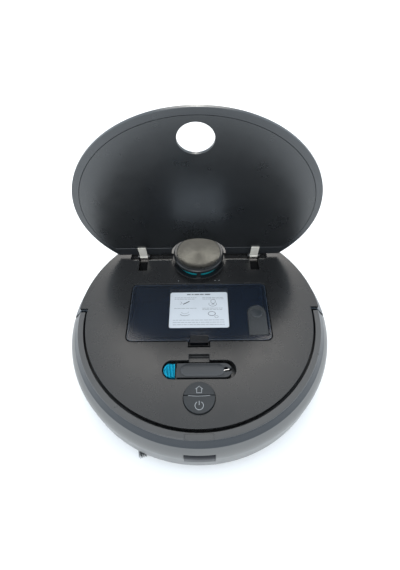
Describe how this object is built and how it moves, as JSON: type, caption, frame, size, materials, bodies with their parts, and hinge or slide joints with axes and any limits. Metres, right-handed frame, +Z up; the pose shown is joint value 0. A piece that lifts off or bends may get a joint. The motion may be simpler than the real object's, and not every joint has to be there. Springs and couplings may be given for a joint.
{
  "type": "robot vacuum cleaner",
  "caption": "Round floor-cleaning robot with a laser turret, sprung bumper, open hinged lid, lift-out dustbin with a tank, cleaning tool, drive wheels, caster and brushes.",
  "frame": {"origin": "on the floor under the centre of the round body", "axes": "+Z up; -Y is the front, where the bumper and the buttons are; +X is the body's side with the water tank"},
  "size_m": [0.35, 0.35, 0.3253],
  "materials": {
    "chassis_plastic": "matte",
    "shell_plastic": "satin",
    "deck_plastic": "matte",
    "lid_plastic": "satin",
    "liner_plastic": "satin",
    "turret_plastic": "gloss",
    "cap_metal": "satin",
    "teal_plastic": "satin",
    "inner_plastic": "matte",
    "motor_steel": "satin",
    "spring_steel": "polished",
    "arm_steel": "satin",
    "belt_rubber": "matte",
    "board_laminate": "satin",
    "battery_wrap": "satin",
    "window_plastic": "gloss",
    "contact_metal": "polished",
    "smoked_plastic": "gloss",
    "cover_plastic": "gloss",
    "seal_rubber": "matte",
    "label_film": "satin",
    "frame_plastic": "matte",
    "filter_paper": "matte",
    "latch_plastic": "matte",
    "plug_silicone": "satin",
    "tool_plastic": "satin",
    "cyan_bristle": "satin",
    "key_rubber": "matte",
    "gearbox_plastic": "matte",
    "hub_plastic": "satin",
    "tyre_rubber": "matte",
    "caster_plastic": "satin",
    "roller_bristle": "matte",
    "side_bristle": "satin",
    "impeller_plastic": "satin"
  },
  "bodies": {
    "body": {"chassis_tub": "chassis_plastic", "rear_shell": "shell_plastic", "top_deck": "deck_plastic", "turret_cage": "turret_plastic", "turret_cap_disc": "cap_metal", "lidar_base": "inner_plastic", "lidar_motor": "motor_steel", "lidar_belt": "belt_rubber", "main_board": "board_laminate", "battery_pack": "battery_wrap", "battery_cover": "chassis_plastic", "bottom_screws": "spring_steel", "exhaust_grille": "inner_plastic", "fan_housing": "inner_plastic", "fan_motor": "motor_steel", "main_brush_gearbox": "gearbox_plastic", "side_brush_motor": "motor_steel", "cliff_sensor_windows": "window_plastic", "charging_contacts": "contact_metal", "hinge_pins": "spring_steel", "brush_guard": "chassis_plastic", "suspension_spring_left": "spring_steel", "suspension_spring_right": "spring_steel", "bumper_springs": "spring_steel"},
    "lid": {"lid_panel": "lid_plastic", "lid_liner": "liner_plastic", "hinge_arms": "arm_steel"},
    "bumper": {"bumper_shell": "shell_plastic", "bumper_top_ring": "shell_plastic", "ring_insert": "deck_plastic", "ir_window": "window_plastic"},
    "turret_rotor": {"lidar_rotor": "teal_plastic"},
    "turret_pulley": {"lidar_pulley": "inner_plastic"},
    "dustbin": {"bin_tub": "smoked_plastic", "bin_seal": "seal_rubber", "bin_cover": "cover_plastic", "bin_label": "label_film", "filter_frame": "frame_plastic", "hepa_filter": "filter_paper"},
    "dustbin_latch": {"bin_latch": "latch_plastic"},
    "tank_plug": {"water_plug": "plug_silicone"},
    "dust_flap": {"inlet_flap": "seal_rubber"},
    "cleaning_tool": {"tool_handle": "tool_plastic", "tool_bristles": "cyan_bristle", "tool_blade": "spring_steel"},
    "home_key": {"home_button": "key_rubber"},
    "power_key": {"power_button": "key_rubber"},
    "wheel_arm_left": {"wheel_gearbox_left": "gearbox_plastic"},
    "wheel_arm_right": {"wheel_gearbox_right": "gearbox_plastic"},
    "wheel_left": {"wheel_hub_left": "hub_plastic", "wheel_tyre_left": "tyre_rubber"},
    "wheel_right": {"wheel_hub_right": "hub_plastic", "wheel_tyre_right": "tyre_rubber"},
    "caster": {"caster_fork": "inner_plastic"},
    "caster_roller": {"caster_wheel": "caster_plastic"},
    "main_brush": {"roller_core": "hub_plastic", "roller_bristles": "roller_bristle"},
    "side_brush": {"side_brush_hub": "hub_plastic", "side_brush_bristles": "side_bristle"},
    "fan": {"fan_impeller": "impeller_plastic"}
  },
  "joints": [
    {"name": "lid_hinge", "type": "hinge", "parent": "body", "child": "lid", "pos_m": [0, 0.098, 0.08], "axis": [-1, 0, 0], "range_deg": [-80.2, 0]},
    {"name": "bumper_press", "type": "slide", "parent": "body", "child": "bumper", "axis": [0, 1, 0], "range_m": [0, 0.0025], "stiffness_N_per_m": 600, "springref_m": -0.002, "deforming": ["bumper_springs"]},
    {"name": "turret_spin", "type": "hinge", "parent": "body", "child": "turret_rotor", "pos_m": [0, 0.092, 0.07], "axis": [0, 0, 1], "continuous": true},
    {"name": "turret_pulley_spin", "type": "hinge", "parent": "body", "child": "turret_pulley", "pos_m": [-0.052, 0.076, 0.068], "axis": [0, 0, 1], "continuous": true},
    {"name": "dustbin_lift", "type": "slide", "parent": "body", "child": "dustbin", "axis": [0, 0, 1], "range_m": [0, 0.06]},
    {"name": "dustbin_latch_press", "type": "slide", "parent": "dustbin", "child": "dustbin_latch", "axis": [0, 1, 0], "range_m": [0, 0.003], "stiffness_N_per_m": 300, "springref_m": -0.001},
    {"name": "tank_plug_hinge", "type": "hinge", "parent": "dustbin", "child": "tank_plug", "pos_m": [0.07675, -0.03525, 0.07825], "axis": [1, 0, 0], "range_deg": [0, 95]},
    {"name": "dust_flap_hinge", "type": "hinge", "parent": "dustbin", "child": "dust_flap", "pos_m": [0, -0.0353, 0.0653], "axis": [1, 0, 0], "range_deg": [0, 70]},
    {"name": "cleaning_tool_lift", "type": "slide", "parent": "body", "child": "cleaning_tool", "axis": [0, 0, 1], "range_m": [0, 0.04]},
    {"name": "home_key_press", "type": "slide", "parent": "body", "child": "home_key", "axis": [0, 0, -1], "range_m": [0, 0.0008], "stiffness_N_per_m": 400, "springref_m": -0.001},
    {"name": "power_key_press", "type": "slide", "parent": "body", "child": "power_key", "axis": [0, 0, -1], "range_m": [0, 0.0008], "stiffness_N_per_m": 400, "springref_m": -0.001},
    {"name": "wheel_arm_left_swing", "type": "hinge", "parent": "body", "child": "wheel_arm_left", "pos_m": [-0.103, -0.034, 0.038], "axis": [-1, 0, 0], "range_deg": [-6, 20], "stiffness_Nm_per_rad": 1.2, "springref_deg": 34.38, "deforming": ["suspension_spring_left"]},
    {"name": "wheel_left_spin", "type": "hinge", "parent": "wheel_arm_left", "child": "wheel_left", "pos_m": [-0.122, 0.012, 0.035], "axis": [1, 0, 0], "continuous": true},
    {"name": "wheel_arm_right_swing", "type": "hinge", "parent": "body", "child": "wheel_arm_right", "pos_m": [0.103, -0.034, 0.038], "axis": [-1, 0, 0], "range_deg": [-6, 20], "stiffness_Nm_per_rad": 1.2, "springref_deg": 34.38, "deforming": ["suspension_spring_right"]},
    {"name": "wheel_right_spin", "type": "hinge", "parent": "wheel_arm_right", "child": "wheel_right", "pos_m": [0.122, 0.012, 0.035], "axis": [1, 0, 0], "continuous": true},
    {"name": "caster_swivel", "type": "hinge", "parent": "body", "child": "caster", "pos_m": [0, -0.132, 0.033], "axis": [0, 0, 1], "continuous": true},
    {"name": "caster_roll", "type": "hinge", "parent": "caster", "child": "caster_roller", "pos_m": [0, -0.126, 0.014], "axis": [1, 0, 0], "continuous": true},
    {"name": "main_brush_spin", "type": "hinge", "parent": "body", "child": "main_brush", "pos_m": [0, -0.062, 0.0225], "axis": [1, 0, 0], "continuous": true},
    {"name": "side_brush_spin", "type": "hinge", "parent": "body", "child": "side_brush", "pos_m": [-0.086, -0.099, 0.008], "axis": [0, 0, 1], "continuous": true},
    {"name": "fan_spin", "type": "hinge", "parent": "body", "child": "fan", "pos_m": [0.036, 0.082, 0.036], "axis": [0, 0, 1], "continuous": true}
  ],
  "couplings": [
    {"joint": "turret_pulley_spin", "follows": "turret_spin", "ratio": 4.5}
  ]
}
